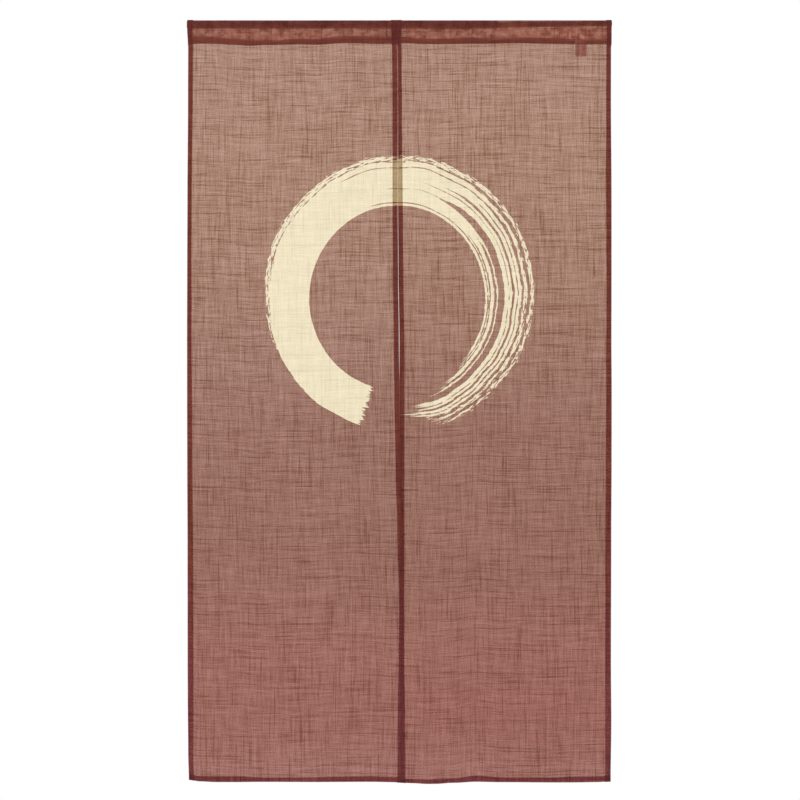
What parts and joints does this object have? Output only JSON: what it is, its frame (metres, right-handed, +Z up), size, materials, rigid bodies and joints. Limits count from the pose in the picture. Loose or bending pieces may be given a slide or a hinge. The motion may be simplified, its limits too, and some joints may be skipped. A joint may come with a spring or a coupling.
{
  "type": "noren curtain on a tension rod",
  "caption": "Sheer doorway curtain of two panels with an open middle slit, rod pocket and printed ring, hanging on a telescopic tension rod.",
  "frame": {"origin": "on the rod's axis, within 2 mm of the middle of the curtain's width", "axes": "+X along the rod to the thinner tube's end, +Y away from the printed front, +Z up"},
  "size_m": [0.8534, 0.0204, 1.5347],
  "materials": {
    "sheer_slub_cloth": "sheer plain weave with thicker slub threads, azuki red-brown, one ring printed in cream",
    "label_ribbon": "plain woven ribbon, blank",
    "coated_steel_tube": "dark brown coated steel, satin",
    "rubber_pad": "dark matt rubber"
  },
  "bodies": {
    "root": {"panel_left": "sheer_slub_cloth", "panel_right": "sheer_slub_cloth", "label_tab_left": "label_ribbon", "label_tab_right": "label_ribbon", "rod_outer_tube": "coated_steel_tube", "rod_inner_tube": "coated_steel_tube", "rod_pad_left": "rubber_pad", "rod_pad_right": "rubber_pad"}
  },
  "joints": []
}
